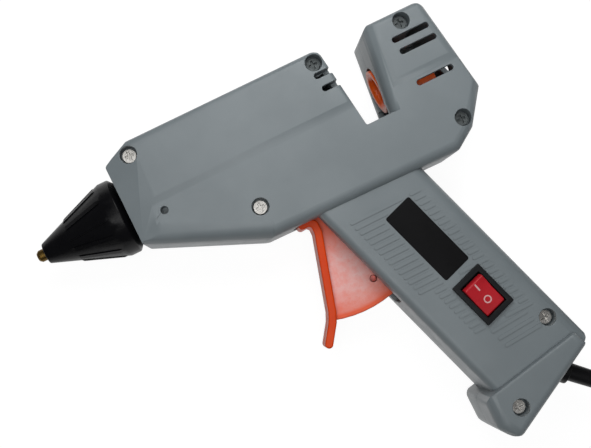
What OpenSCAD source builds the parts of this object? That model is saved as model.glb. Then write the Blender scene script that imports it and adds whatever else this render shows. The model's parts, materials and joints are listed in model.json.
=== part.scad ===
// Mains glue gun lying on its right side, nozzle towards -X, top edge towards +Y, left side up.
// Everything is drawn about the glue stick axis: x = 0 at the housing's front wall,
// y = 0 on the stick axis, z = 0 on the parting plane. in_place() sets the gun down on z = 0.

/* [Housing] */
// Thickness over the raised side panels and the foot
body_t = 42; // [40:0.5:50]
// Depth of the plain sides below the raised panels
side_drop = 1; // [0.5:0.1:1.5]
// Wall of the moulded halves
wall = 2.6; // [2.2:0.1:3]
// Stick axis to the top edge
top_h = 24.6; // [23:0.2:28]
// Stick axis to the upper corner of the front wall
front_h = 19; // [18:0.2:21]
// Stick axis to the lower corner of the front wall
front_low = 16.4; // [16:0.2:18]
// Thickness at the front wall
front_t = 34; // [33.5:0.5:37]
// Length of the sloping top behind the front wall
top_slope = 12; // [10:0.5:13]
// Front wall to the raised panel
panel_x = 13.5; // [13:0.5:16]
// Stick axis down to the edge of the raised panels
panel_low = 0.5; // [0:0.1:2]
// Front wall to the notch, along the notch floor
housing_len = 103.7; // [103:0.2:110]
// Stick axis to the notch floor
notch_floor = 12.8; // [12.4:0.1:14]
// Width of the notch at its floor
notch_w = 11.8; // [11.4:0.1:16]
// Slope of both notch walls, degrees
notch_draft = 6.8; // [5:0.2:8]
// Notch to the rearmost corner of the tower
tower_len = 38.2; // [37:0.2:44]
// Stick axis to the underside
belly_h = 37; // [36.6:0.2:40]
// Front wall to the end of the sloping underside
wedge_len = 47; // [44:0.5:50]
// Stick axis down to the rearmost corner
rear_low = 19; // [17:0.5:22]

/* [Grip] */
// Thickness of the grip
grip_t = 34; // [33:0.5:37]
// Depth of the grip, front to rear
grip_w = 45; // [44:0.5:49]
// Lean of the grip, degrees
grip_rake = 18; // [17:0.2:19]
// Front wall to the grip's front edge at the underside
grip_x = 69.5; // [69:0.2:72]
// Underside to the foot
grip_len = 95.5; // [94:0.5:104]
// Height of the foot's front face
foot_h = 15; // [13:0.5:18]
// How far the foot stands ahead of the grip
foot_lip = 5; // [4:0.2:7]
// Slope of the foot's underside, degrees
foot_slope = 27.4; // [25:0.2:28]
// Spacing of the grip ribs
rib_pitch = 2.7; // [2.4:0.1:3.4]
// Width of one grip rib
rib_w = 1.5; // [1:0.1:1.8]
// Height of the grip ribs
rib_h = 0.4; // [0.3:0.1:1]
// Length of the rating plate
plate_l = 35.5; // [30:0.5:38]
// Width of the rating plate
plate_w = 13.5; // [12:0.5:15]
// Thickness of the rating plate
plate_t = 0.7; // [0.5:0.1:0.9]

/* [Nose] */
// Front wall to the small end of the nose cone
cone_len = 39; // [36:0.5:44]
// Radius of the nose cone's band
cone_r = 16.6; // [16.4:0.1:18]
// Radius of the nose cone's small end
cone_tip_r = 4.4; // [4.2:0.1:5.5]
// Width of the nose cone's band
band_w = 4.4; // [3:0.2:5]
// Radius of the neck in the front wall
neck_r = 12.4; // [12:0.1:12.6]
// Number of ribs round the nose cone
cone_ribs = 12; // [8:1:16]
// Radius of the nozzle's tip
nozzle_r = 2.6; // [2:0.1:2.9]
// Nozzle standing out of the nose cone
nozzle_out = 3.6; // [3:0.2:6]

/* [Stick path] */
// Diameter of the glue stick
stick_d = 11.2; // [10.8:0.1:11.4]
// Clearance round the stick in the guide tube
stick_clear = 0.4; // [0.3:0.05:0.5]
// Radius of the melt chamber
chamber_r = 9; // [8.8:0.1:9.2]
// Wall of the inlet sleeve
sleeve_wall = 1.6; // [1.4:0.1:1.7]
// Wall of the guide tube
guide_wall = 2.2; // [1.8:0.1:2.4]
// Length of the ceramic heater
heater_l = 26; // [22:0.5:27]
// Width of the ceramic heater
heater_w = 14; // [10:0.5:15]
// Thickness of the ceramic heater
heater_t = 2.6; // [2.2:0.1:2.8]
// Radius of the sockets for a wire stand
stand_r = 1.6; // [1.2:0.1:1.8]
// Depth of the sockets for a wire stand
stand_depth = 6; // [5:0.5:7]

/* [Feed] */
// Front wall to the trigger pin
pivot_x = 72; // [71.6:0.1:72.6]
// Stick axis down to the trigger pin
pivot_low = 31.5; // [31.2:0.1:32]
// Radius of the trigger pin
pivot_r = 2; // [1.8:0.1:2.4]
// Trigger swing, degrees
pull = 28; // [20:0.5:28]
// Stick axis down to the drive pin
drive_low = 13; // [12.8:0.1:13.4]
// Radius of the drive pin
drive_r = 1.8; // [1.6:0.1:2]
// Thickness of the trigger web
web_t = 6; // [5:0.2:7]
// Width of the finger flange
flange_w = 16; // [13:0.5:18]
// Thickness of the finger flange
flange_t = 3.5; // [3:0.1:4.5]
// Width of the carriage tongue
tongue_w = 10; // [9:0.2:10.6]
// Height of the carriage tongue
tongue_h = 4.3; // [4:0.1:4.6]
// Radius of the clamp ring
ring_r = 9.8; // [9.4:0.1:9.9]
// Length of the carriage block
block_l = 10; // [9:0.2:11]
// Wire of the return spring
spring_wire = 1; // [0.8:0.05:1.1]
// Mean radius of the return spring
spring_r = 3.4; // [3.2:0.05:3.5]
// Curls of the return spring
spring_turns = 8; // [6:1:8]

/* [Switch] */
// Length of the switch bezel
bezel_l = 21; // [20:0.2:22]
// Width of the switch bezel
bezel_w = 15; // [14:0.2:16]
// Height of the switch bezel
bezel_t = 1.8; // [1.4:0.1:2.2]
// Depth of the switch body behind the grip's face
switch_depth = 12; // [11.4:0.2:12.6]
// Swing of the rocker, degrees
rocker_swing = 18; // [12:0.5:20]

/* [Fasteners] */
// Radius of the casing screws
screw_r = 1.5; // [1.3:0.05:1.6]
// Radius of the screw heads
head_r = 2.9; // [2.6:0.1:3.1]
// Length of the casing screws under the head
screw_l = 22; // [20:0.5:24]
// Radius of the counterbores
sink_r = 3.6; // [3.4:0.1:3.8]

/* [Cord] */
// Diameter of the mains cord
cord_d = 6; // [5.6:0.1:6.2]
// Loops of the cord in the coil
coil_turns = 6; // [4:2:6]
// Radius of the outermost loop
coil_r = 43; // [42.6:0.1:43.4]
// Spacing of the loops
coil_pitch = 6.6; // [6.6:0.05:6.9]
// Thickness of the tie round the coil
tie_t = 0.8; // [0.6:0.1:0.9]
// Length of the plug body
plug_l = 36; // [32:0.5:40]

/* [Hidden] */
$fn = 48;

// Clearances
slip = 0.05;       // pins, bores and turned fits
gap = 0.3;         // sliding faces
over = 1;          // how far a cutter runs past what it cuts

// Places along the barrel
body_half = body_t / 2;
side_half = body_half - side_drop;
front_half = front_t / 2;
grip_half = grip_t / 2;
tower_x = housing_len + notch_w;
rear_x = tower_x + tower_len;
function lean(y) = (y + notch_floor) * tan(notch_draft);
function grip_front(y) = grip_x + (-belly_h - y) * tan(grip_rake);
function grip_rear(y) = grip_front(y) + grip_w / cos(grip_rake);
foot_y = -(belly_h + grip_len);

// Side outlines, counterclockwise, each corner [x, y, radius]
rear_slope = 8.4;
rear_belly = [rear_x - 19.7, -belly_h - 2];
body_corners = [
    [0, -front_low, 1.5],
    [wedge_len, -belly_h, 8],
    [rear_belly.x, rear_belly.y, 6],
    [rear_x - 10, -rear_low - 13.6, 6],
    [rear_x, -rear_low, 3],
    [rear_x - (top_h + rear_low) * tan(rear_slope), top_h, 6],
    [tower_x + lean(top_h), top_h, 4],
    [tower_x, -notch_floor, 1],
    [housing_len, -notch_floor, 1],
    [housing_len - lean(top_h), top_h, 5.2],
    [top_slope, top_h, 5],
    [0, front_h, 1.5]];
grip_root = -belly_h + 10;
foot_low = [grip_front(foot_y) - foot_lip + 5.5, foot_y - foot_h - 8];
foot_rear = [grip_rear(foot_y) - 3.6, 0];
foot_heel = [foot_rear.x, foot_low.y + (foot_rear.x - foot_low.x) * tan(foot_slope)];
foot_corners = [
    [grip_front(foot_y) - foot_lip, foot_y - 2, 4],
    [grip_front(foot_y) - foot_lip, foot_y - foot_h, 7],
    [foot_low.x, foot_low.y, 6],
    [foot_heel.x, foot_heel.y, 2.5],
    [grip_rear(foot_y + 6) - 4.4, foot_y + 6, 2]];
grip_corners = [
    [grip_front(grip_root), grip_root, 1],
    [grip_front(foot_y - 13), foot_y - 13, 1],
    [grip_rear(foot_y + 1.1), foot_y + 1.1, 3.5],
    [grip_rear(grip_root), grip_root, 1]];

// Rounded outline edges: [edge, radius, outer face, run past its start, run past its end]
body_soft = [
    [0, 7, side_half, 0, 2], [1, 4.6, side_half, 2, 2], [2, 4.6, side_half, 2, 2], [3, 4.6, side_half, 2, 2],
    [4, 4, body_half, 1, 2], [5, 3, body_half, 2, 2], [6, 7, body_half, 2, 0],
    [8, 2, body_half, 0, 2], [9, 3, body_half, 2, 2], [10, 3, body_half, 2, 0]];
foot_soft = [[0, 5, body_half, 2, 2], [1, 5, body_half, 2, 2], [2, 3.5, body_half, 2, 2],
    [3, 3, body_half, 2, 2], [4, 1.2, body_half, 2, 2]];
grip_soft = [[0, 3.5, grip_half, 0, 2], [2, 5, grip_half, 2, 0]];

// Casing screws: [x, y, outer face above the parting plane, depth of the head's top]
edge_in = 4.8;
screws = [
    [10.8, top_h - 5.6, side_half - 0.4, 3.6],
    [wedge_len + 2.4, -belly_h + 13.4, side_half, 4],
    [housing_len - 8.4, top_h - edge_in, body_half, 4.5],
    [tower_x + 20.4, top_h - edge_in, body_half, 4.5],
    [rear_x - 12.7, -rear_low - 8.6, side_half, 4.2],
    [grip_rear(foot_y + 15.8) - 7.6, foot_y + 15.8, grip_half, 4.4],
    [foot_low.x + 6.4, foot_low.y + 12, body_half, 4.6]];
head_t = 2.2;
boss_r = sink_r + 1.4;

// Nose, chamber and stick path
stick_bore = stick_d / 2 + stick_clear;
melt_bore = stick_bore - 0.1;
guide_bore = stick_bore + 0.3;
cone_top = -2.8;
cone_base = cone_top - band_w;
cone_slope = (cone_r - cone_tip_r) / (cone_len + cone_base);
function cone_at(x) = cone_tip_r + (x + cone_len) * cone_slope;
cone_wall = 2;
cone_rib_h = 0.45;
flange_r = neck_r + 1.6;
hex_x = -27;
hex_l = 5;
chamber_front = hex_x + hex_l;
thread_r = 4;
thread_l = 10;
chamber_end = 58;
tail_l = 10;
tail_r = melt_bore + 1.3;
pocket_wall = 1.9;
sheet_t = 0.8;
sheet_over = 3;
contact_t = 0.6;
tab_l = 7;
pocket_x = 18;
pocket_h = heater_t + 2 * contact_t + 2 * sheet_t + 0.3;
pocket_y = 10.4;
sleeve_r = tail_r + slip + sleeve_wall;
sleeve_x = chamber_end + 0.2;
guide_r = stick_bore + guide_wall;
guide_x = sleeve_x + 20;
guide_end = housing_len - lean(0) - 1.2;
guide_len = guide_end - guide_x;
collar_x = (guide_x + guide_end) / 2 - 2.3;
band_x = sleeve_x + 3;
band_l = 4;
rear_hole_r = stick_bore + 0.6;

// Feed: the fork on the trigger swings evenly to both sides of upright
pivot = [pivot_x, -pivot_low];
arm = pivot_low - drive_low;
travel = 2 * arm * tan(pull / 2);
drive_x = pivot_x + arm * tan(pull / 2);
fork_in = tongue_w / 2 + gap;
fork_t = 3;
fork_w = 8.8;
hub_half = fork_in + fork_t + 0.2;
hub_r = 5;
pin_half = body_half - 7.4;
tongue_top = -(notch_floor + wall + gap);
tongue_low = tongue_top - tongue_h;
rail_t = 2.2;
block_x = tower_x + lean(5) + wall + travel + 1;
block_w = 26;
cheek_in = 9.3;
cheek_top = 5;
sleeve_fit = 8.8;
lug_x = drive_x - 8.6;
lug_l = 15;
lug_top = -drive_low + 2.6;
ring_x = tower_x + lean(0) + 0.2;
ring_l = 5;
trunnion_x = block_x + block_l / 2;
trunnion_r = 2.2;
window_r = ring_r + 1.1;
spring_y = -14;
spring_seat = 40;
web_r = 50.1;
tilt = 3;

// Trigger outline
web_floor = 1.2;
finger_lean = 16.7;
flange_top = [pivot_x - 5.1, -belly_h - 6.2];
function finger(s) = flange_top + s * [-sin(finger_lean), -cos(finger_lean)];
finger_l = 33.8;
hook_l = 6.5;
hook_rise = 5.5;

// Rating plate and switch on the grip
trim_shift = 2.6;
function grip_mid(y) = (grip_front(y) + grip_rear(y)) / 2 + trim_shift;
plate_y = -belly_h - 28.7;
switch_y = -belly_h - 59.3;
plate_sink = 0.5;
plate_corner = 0.9;
switch_l = bezel_l - 2;
switch_w = bezel_w - 2;
rocker_l = bezel_l - 6;
rocker_w = bezel_w - 5;
rocker_pivot = grip_half - 2;
rocker_arm = 4.4;

// Cord: the gland leans from the foot's underside, the coil lies beyond it
cord_r = cord_d / 2;
gland_turn = -44;
gland_dir = [cos(gland_turn), sin(gland_turn)];
gland_back = 12.05;
gland_root = foot_heel - gland_back * [1, tan(foot_slope)];
collar_r = 5.5;
collar_l = 6;
gland_l = 27;
gland_tip_r = cord_r + 0.5;
gland_in = 9;
cord_exit = gland_root + gland_l * gland_dir;
cord_in_l = 24;
clamp_in = 15;

// Middle of the gun's own box, which stands over the origin
tip_x = -cone_len - nozzle_out;
mid_x = (tip_x + max([for (p = rounded(body_corners)) p.x])) / 2;
mid_y = (top_h + min([for (p = rounded(foot_corners)) p.y])) / 2;

// Coil of the stored cord: in and out again in two layers
coil_mid = [216, -146];
coil_start = 310;
layer_z = coil_pitch;
coil_z = cord_r + tie_t + 0.1;
rings = 24;
climb = 0.25;

// Route of the lead from the gland to the coil and of the tail from the coil to the plug,
// [x, y, height over the floor]
lead_route = [
    [164.2, -170.8, 20.6], [171.2, -177.5, 18.8], [177.6, -182.6, 16.2], [184.2, -186.9, 13.1],
    [191.8, -190.6, 9.6], [200.3, -193.6, 6.4], [209.7, -195, 4.5], [219, -194.2, 3.9], [227, -191.4, 3.9]];
tail_route = [
    [257, -166.6, 10], [261, -159.6, 8.6], [264, -152, 6.8], [266, -144, 5.1],
    [267, -136, 3.8], [267.2, -127.6, 3.2], [266.4, -119.6, 4.4]];
plug_at = [262, -104, 6.9];
plug_dir = [-0.26, 0.966];
plug_h = 13.8;
plug_w = 26;

function unit(v) = v / norm(v);

// Corner rounding: each [x, y, r] of a closed outline becomes an arc of its radius
function fillet(a, c, b, steps) =
    let (p = [c.x, c.y], u = unit([a.x, a.y] - p), w = unit([b.x, b.y] - p), half = acos(u * w) / 2)
    let (o = p + unit(u + w) * c[2] / sin(half), s = p + u * c[2] / tan(half) - o)
    let (e = p + w * c[2] / tan(half) - o, a0 = atan2(s.y, s.x))
    let (turn = (atan2(e.y, e.x) - a0 + 540) % 360 - 180)
    [for (k = [0 : steps]) o + c[2] * [cos(a0 + turn * k / steps), sin(a0 + turn * k / steps)]];
function rounded(pts, steps = 6) =
    let (n = len(pts))
    [for (i = [0 : n - 1]) each fillet(pts[(i + n - 1) % n], pts[i], pts[(i + 1) % n], steps)];

// Strip of width w along a path, with round ends and bends
function bend(a, b, c) = (b.x - a.x) * (c.y - b.y) - (b.y - a.y) * (c.x - b.x);
function strip(path, w) =
    let (n = len(path), end_r = w / 2 - 0.02, tight = 0.6)
    let (side = [for (i = [0 : n - 1])
        let (u = i > 0 ? unit(path[i] - path[i - 1]) : unit(path[1] - path[0]))
        let (v = i < n - 1 ? unit(path[i + 1] - path[i]) : u)
        let (m = [-u.y, u.x], k = [-v.y, v.x]) (m + k) * w / 2 / (1 + m * k)])
    let (turn = [for (i = [0 : n - 1]) i == 0 || i == n - 1 ? 0 : bend(path[i - 1], path[i], path[i + 1])])
    concat(
        [for (i = [0 : n - 1]) [path[i].x - side[i].x, path[i].y - side[i].y,
            turn[i] == 0 ? end_r : turn[i] > 0 ? w * 0.8 : tight]],
        [for (i = [n - 1 : -1 : 0]) [path[i].x + side[i].x, path[i].y + side[i].y,
            turn[i] == 0 ? end_r : turn[i] < 0 ? w * 0.8 : tight]]);

// Outline moved inwards by d
function left_of(v) = unit([-v.y, v.x]);
function inset(pts, d) =
    let (n = len(pts))
    [for (i = [0 : n - 1])
        let (a = pts[(i + n - 1) % n], b = pts[i], c = pts[(i + 1) % n])
        let (u = [b.x - a.x, b.y - a.y], w = [c.x - b.x, c.y - b.y])
        let (m = left_of(u), k = left_of(w), s = d / (1 + m * k))
        [b.x + s * (m.x + k.x), b.y + s * (m.y + k.y),
            u.x * w.y - u.y * w.x > 0 ? max(b[2] - d, 0.5) : b[2] + d]];

// Tube swept along points, with flat ends square to the first and last step
function tube_frame(pts, i) =
    let (n = len(pts), t = unit(pts[min(i + 1, n - 1)] - pts[max(i - 1, 0)]))
    let (side = unit(cross(t, [0, 0, 1])))
    [side, cross(side, t)];
module tube(pts, r, sides) {
    n = len(pts);
    spots = [for (i = [0 : n - 1]) let (f = tube_frame(pts, i)) for (k = [0 : sides - 1])
        pts[i] + r * (cos(360 * k / sides) * f[0] + sin(360 * k / sides) * f[1])];
    walls = [for (i = [0 : n - 2]) for (k = [0 : sides - 1])
        let (a = i * sides + k, b = i * sides + (k + 1) % sides)
        each [[a, a + sides, b], [b, a + sides, b + sides]]];
    caps = [for (k = [1 : sides - 2]) each [[0, k, k + 1],
        [(n - 1) * sides, (n - 1) * sides + k + 1, (n - 1) * sides + k]]];
    polyhedron(spots, concat(walls, caps));
}

module in_place() {
    translate([-mid_x, -mid_y, body_half]) children();
}
module on_floor() {
    translate([-mid_x, -mid_y, 0]) children();
}
module block(a, b) {
    translate(a) cube(b - a);
}
// Round bar along X
module bar(x0, x1, r, y = 0, z = 0) {
    translate([x0, y, z]) rotate([0, 90, 0]) cylinder(r = r, h = x1 - x0);
}
// Cone along X
module taper(x0, x1, r0, r1) {
    translate([x0, 0, 0]) rotate([0, 90, 0]) cylinder(r1 = r0, r2 = r1, h = x1 - x0);
}
// Round bar across the gun
module cross_bar(at, r, z0, z1) {
    translate([at.x, at.y, z0]) cylinder(r = r, h = z1 - z0);
}
// Slot of width w whose round ends stand at a and b
module stadium(a, b, w, steps = 6) {
    reach = unit(b - a) * w / 2;
    polygon(rounded(strip([a - reach, b + reach], w), steps));
}
module rounded_sheet(w, l, r) {
    polygon(rounded([for (c = [[1, 1], [-1, 1], [-1, -1], [1, -1]]) [c.x * w / 2, c.y * l / 2, r]]));
}
module on_grip(y) {
    translate([grip_mid(y), y, 0]) rotate(grip_rake) children();
}
module along_cord(at) {
    translate([gland_root.x, gland_root.y, 0]) rotate([0, 0, gland_turn]) translate([at, 0, 0]) children();
}

// Rolls one outline edge over to the side face
soft_steps = 4;
module soften(pts, edge) {
    p = pts[edge[0]];
    q = pts[(edge[0] + 1) % len(pts)];
    run = [q.x - p.x, q.y - p.y];
    r = edge[1];
    roll = [for (k = [0 : soft_steps]) let (a = 90 * k / soft_steps) r * [1 - cos(a), sin(a) - 1]];
    translate([p.x, p.y, edge[2]])
        rotate([0, 0, atan2(run.y, run.x)])
            translate([-edge[3], 0, 0])
                rotate([90, 0, 90])
                    linear_extrude(norm(run) + edge[3] + edge[4])
                        polygon(concat([[r, over], [-over, over], [-over, -r]], roll));
}
module prism(corners, soft, half, d, under) {
    pts = inset(corners, d);
    difference() {
        translate([0, 0, -under]) linear_extrude(half - d + under) polygon(rounded(pts));
        for (e = soft) soften(pts, [e[0], max(e[1] - d, 0.5), e[2] - d, e[3], e[4]]);
    }
}

// Plain sides below the raised panels, with a cove under the panel's edge
cove_w = 4;
cove_steps = 4;
module plain_sides(d) {
    far = 200;
    edge = [for (k = [0 : cove_steps])
        [-panel_low - cove_w * k / cove_steps, body_half - d - side_drop * sin(90 * k / cove_steps)]];
    translate([-over, 0, 0]) rotate([90, 0, 90]) linear_extrude(rear_x + 2 * over)
        polygon(concat([[-panel_low, body_half + over]], edge,
            [[-far, side_half - d], [-far, body_half + over]]));
}
module front_faces(d) {
    z0 = front_half - d;
    z1 = body_half - d;
    rotate([90, 0, 0]) translate([0, 0, -top_h - over]) linear_extrude(top_h + belly_h + 2 * over)
        polygon([[-over, z0 - over * (z1 - z0) / panel_x], [panel_x, z1],
            [panel_x, z1 + 4], [-over, z1 + 4]]);
}

// One half of the housing as a solid, drawn inwards by d
module half_form(d, under = 0) {
    difference() {
        prism(body_corners, body_soft, body_half, d, under);
        plain_sides(d);
        front_faces(d);
    }
    prism(grip_corners, grip_soft, grip_half, d, under);
    prism(foot_corners, foot_soft, body_half, d, under);
}

// Raised ribs on the grip's side
rib_top = -belly_h - 6.5;
rib_rows = floor((grip_len - 27) / rib_pitch);
tick_l = 4;
bar_top = -belly_h - 74.5;
bar_pitch = 3.8;
bar_half = 8;
// Where a leaning plate of width w and length l at height at_y crosses the row y
function crossing(y, at_y, w, l) =
    let (dy = y - at_y, c = cos(grip_rake), s = sin(grip_rake), x = grip_mid(at_y))
    [x + max((-w / 2 - dy * s) / c, (dy * c - l / 2) / s),
        x + min((w / 2 - dy * s) / c, (dy * c + l / 2) / s)];
function rib_runs(y, bare) =
    let (a = grip_front(y) + 7.5, b = grip_rear(y) - 8.5)
    let (p = crossing(y, plate_y, plate_w + 3, plate_l + 3))
    let (q = crossing(y, switch_y, bezel_w + 3, bezel_l + 5))
    bare ? [[a, b]] : p[0] < p[1] ? [[a, p[0]], [p[1], b]]
    : q[0] < q[1] ? [[q[0] - tick_l, q[0]], [q[1], b]] : [];
module grip_ribs(bare) {
    for (i = [0 : rib_rows - 1]) {
        y = rib_top - i * rib_pitch;
        for (run = rib_runs(y, bare)) if (run[1] - run[0] > 2 * rib_w)
            translate([0, 0, grip_half - over / 2]) linear_extrude(rib_h + over / 2)
                stadium([run[0], y], [run[1], y], rib_w, 2);
    }
    for (i = [0 : 2]) {
        y = bar_top - i * bar_pitch;
        translate([0, 0, grip_half - over / 2]) linear_extrude(rib_h + over / 2)
            stadium([grip_mid(y) - bar_half, y], [grip_mid(y) + bar_half, y + 1], rib_w, 2);
    }
}

// Bosses, seats and rails left standing in the hollow of one half
rail_x = housing_len - 7;
module inner_seats() {
    deep = body_half;
    for (s = screws) cross_bar(s, boss_r, 0, deep);
    block([chamber_end - 6, -12, 0], [chamber_end - 3, 6, deep]);
    block([collar_x - 3.3, -11, 0], [collar_x - 0.3, 11, deep]);
    block([spring_seat - 3, spring_y - 5.6, 0], [spring_seat, spring_y + 4.4, deep]);
    block([rail_x, tongue_low - gap - rail_t, 0], [rear_x - 4, tongue_low - gap, deep]);
    block([rail_x, tongue_low - gap - rail_t, tongue_w / 2 + gap],
        [tower_x - over, tongue_top + gap + over, tongue_w / 2 + gap + rail_t]);
    cross_bar(pivot, pivot_r + 3, hub_half + gap, deep);
    cross_bar(stand_at, stand_r + 2, side_half - stand_depth - 1.4, deep);
}
stand_at = [14, -7.7];

// Vent slots of the left half
vent_w = 2.5;
module vents() {
    translate([0, 0, body_half - wall - 4]) linear_extrude(wall + 4 + over) {
        for (v = [[13.6, 14.4], [8, 15.2], [-6.6, 15.8]])
            stadium([tower_x + v[1], v[0]], [tower_x + v[1] + 14.4, v[0]], vent_w);
        for (v = [14.2, 8.2])
            stadium([housing_len - lean(v) - 6.4, v], [housing_len - lean(v) + over + vent_w, v], vent_w);
    }
}
module web_slot() {
    half = web_t / 2 + 0.4;
    mouth = -belly_h - 4;
    slot_end = -belly_h - 48;
    translate([0, 0, -half]) linear_extrude(2 * half)
        polygon([[grip_front(mouth) - 6, mouth + 14], [grip_front(slot_end) - 3, slot_end],
            [grip_front(slot_end) + 7, slot_end], [grip_front(mouth) + 14, mouth + 14]]);
    broad = flange_w / 2 + 0.5;
    broad_end = slot_end + 0.5;
    translate([0, 0, -broad]) linear_extrude(2 * broad)
        polygon([[grip_front(-belly_h) - 5, -belly_h], [grip_front(broad_end) - 3, broad_end],
            [grip_front(broad_end) + 3, broad_end], [grip_front(-belly_h) + 7, -belly_h]]);
    block([flange_top.x - hook_l - 1.2, -belly_h - 3, -broad - 0.3],
        [grip_front(-belly_h) + 5, flange_top.y + hook_rise + flange_t / 2 + 1.6, broad + 0.3]);
    cross_bar(pivot, hub_r + 1, -hub_half - gap, hub_half + gap);
    block([pivot_x - 9, -belly_h - 3, -half], [pivot_x + 2, -pivot_low, half]);
}
module shared_cuts() {
    bar(-over, wall + over, neck_r + slip);
    bar(wall, chamber_end, chamber_r + slip);
    bar(spring_seat, spring_seat + 40, spring_r + spring_wire + 0.5, spring_y);
    bar(collar_x - 4, housing_len + over, guide_r + slip);
    bar(tower_x - over, tower_x + lean(window_r) + wall + over, window_r);
    bar(tower_x + tower_len / 2, rear_x + over, rear_hole_r);
    block([tower_x - over, -notch_floor + 0.01, -window_r],
        [tower_x + wall + 2, -notch_floor + 5.5, window_r]);
    cross_bar(pivot, pivot_r + slip, -14, 14);
    cross_bar(stand_at, stand_r, side_half - stand_depth, body_half + over);
    translate([0, 0, side_half - 0.5]) linear_extrude(2)
        stadium(stand_at, stand_at - [7, 4.2], 1.4);
    web_slot();
    along_cord(0) bar(-8, 12, collar_r + slip);
    along_cord(0) bar(-gland_in - gap, -wall - 3 + gap, collar_r + 1.4 + gap);
}

module left_shell() {
    color([0.50, 0.53, 0.54]) in_place() difference() {
        union() {
            half_form(0);
            grip_ribs(false);
        }
        difference() {
            half_form(wall, over);
            inner_seats();
        }
        shared_cuts();
        vents();
        for (s = screws) {
            cross_bar(s, screw_r + 0.2, -over, body_half);
            cross_bar(s, sink_r, s[2] - s[3] - head_t, body_half + over);
        }
        on_grip(plate_y) translate([0, 0, grip_half - plate_sink])
            linear_extrude(2) rounded_sheet(plate_w + 0.2, plate_l + 0.2, plate_corner + 0.1);
        on_grip(switch_y) translate([0, 0, 0]) linear_extrude(body_half)
            square([switch_w + 0.2, switch_l + 0.2], center = true);
    }
}

// Saddle and posts for the cord clamp in the right half
post_at = 6.5;
post_r = 3.2;
module clamp_posts() {
    for (s = [-1, 1]) along_cord(-clamp_in) translate([0, s * post_at, cord_r + slip])
        cylinder(r = post_r, h = body_half);
    along_cord(-clamp_in) block([-3, -post_at, cord_r + slip], [3, post_at, body_half]);
}
module right_shell() {
    color([0.47, 0.50, 0.51]) in_place() mirror([0, 0, 1]) difference() {
        union() {
            half_form(0);
            grip_ribs(true);
        }
        difference() {
            half_form(wall, over);
            inner_seats();
            clamp_posts();
        }
        shared_cuts();
        for (s = screws) cross_bar(s, screw_r + slip, -over, screw_l - 2);
        for (s = [-1, 1]) along_cord(-clamp_in) translate([0, s * post_at, 0])
            cylinder(r = screw_r + slip, h = cord_r + 9);
    }
}

module cross_recess(r, depth) {
    for (a = [0, 90]) rotate(a) translate([-r, -0.45, -depth]) cube([2 * r, 0.9, depth + over]);
}
module casing_screws() {
    color([0.78, 0.78, 0.76]) in_place() for (s = screws) translate([s.x, s.y, s[2] - s[3]]) difference() {
        union() {
            translate([0, 0, -head_t]) cylinder(r = head_r, h = head_t);
            translate([0, 0, -head_t - screw_l]) cylinder(r = screw_r, h = screw_l + over);
        }
        cross_recess(1.8, 1.2);
    }
}

module rating_plate() {
    color([0.07, 0.07, 0.08]) in_place() on_grip(plate_y) translate([0, 0, grip_half - plate_sink])
        linear_extrude(plate_t) rounded_sheet(plate_w, plate_l, plate_corner);
}

module nose_cone() {
    rear = wall + 2.3;
    color([0.06, 0.06, 0.06]) in_place() difference() {
        union() {
            taper(-cone_len, cone_base, cone_tip_r, cone_r);
            bar(cone_base, cone_top, cone_r);
            taper(cone_top, -0.2, cone_r, neck_r + 1);
            bar(-0.2, wall + 0.2, neck_r);
            bar(wall + 0.2, rear, flange_r);
            for (i = [0 : cone_ribs - 1]) rotate([360 * i / cone_ribs, 0, 0]) translate([0, 0, -0.9])
                linear_extrude(1.8) polygon([[-cone_len + 11, cone_at(-cone_len + 11) - 1],
                    [cone_base + 1.2, cone_r - 1.8], [cone_base + 1.2, cone_r - 0.6],
                    [cone_base - 3, cone_at(cone_base - 3) + cone_rib_h],
                    [-cone_len + 13, cone_at(-cone_len + 13) + cone_rib_h]]);
        }
        bar(-cone_len - over, -cone_len + 4, nozzle_r + 0.5);
        taper(-cone_len + 3, cone_base, cone_at(-cone_len + 3) - cone_wall, cone_r - cone_wall);
        bar(cone_base - over, cone_top, cone_r - cone_wall - 3);
        bar(cone_base, rear + over, chamber_r + slip);
    }
}

module nozzle() {
    color([0.72, 0.55, 0.25]) in_place() difference() {
        union() {
            taper(tip_x, tip_x + 1.2, nozzle_r - 0.9, nozzle_r);
            bar(tip_x + 1.2, hex_x, nozzle_r);
            translate([hex_x, 0, 0]) rotate([0, 90, 0]) cylinder(r = 4.8, h = hex_l, $fn = 6);
            bar(chamber_front - over, chamber_front + thread_l, thread_r);
        }
        bar(tip_x - over, hex_x, 0.9);
        bar(hex_x - over, chamber_front + thread_l + over, 2);
    }
}

module melt_chamber() {
    throat = chamber_front + thread_l;
    top = pocket_y + pocket_h + pocket_wall;
    half = heater_w / 2 + 2.6;
    color([0.72, 0.73, 0.74]) in_place() difference() {
        union() {
            bar(chamber_front, throat + over, 6.5);
            bar(throat, chamber_end, chamber_r);
            bar(chamber_end - over, chamber_end + tail_l, tail_r);
            block([pocket_x - 2, 0, -half], [pocket_x + heater_l + 4, top, half]);
        }
        bar(chamber_front - over, throat + 0.2, thread_r + slip);
        taper(throat, throat + 8, 2, melt_bore);
        bar(throat + 7.9, chamber_end + tail_l + over, melt_bore);
        block([pocket_x, pocket_y, -heater_w / 2 - 0.4],
            [pocket_x + heater_l + 5, pocket_y + pocket_h, heater_w / 2 + 0.4]);
    }
}

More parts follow.
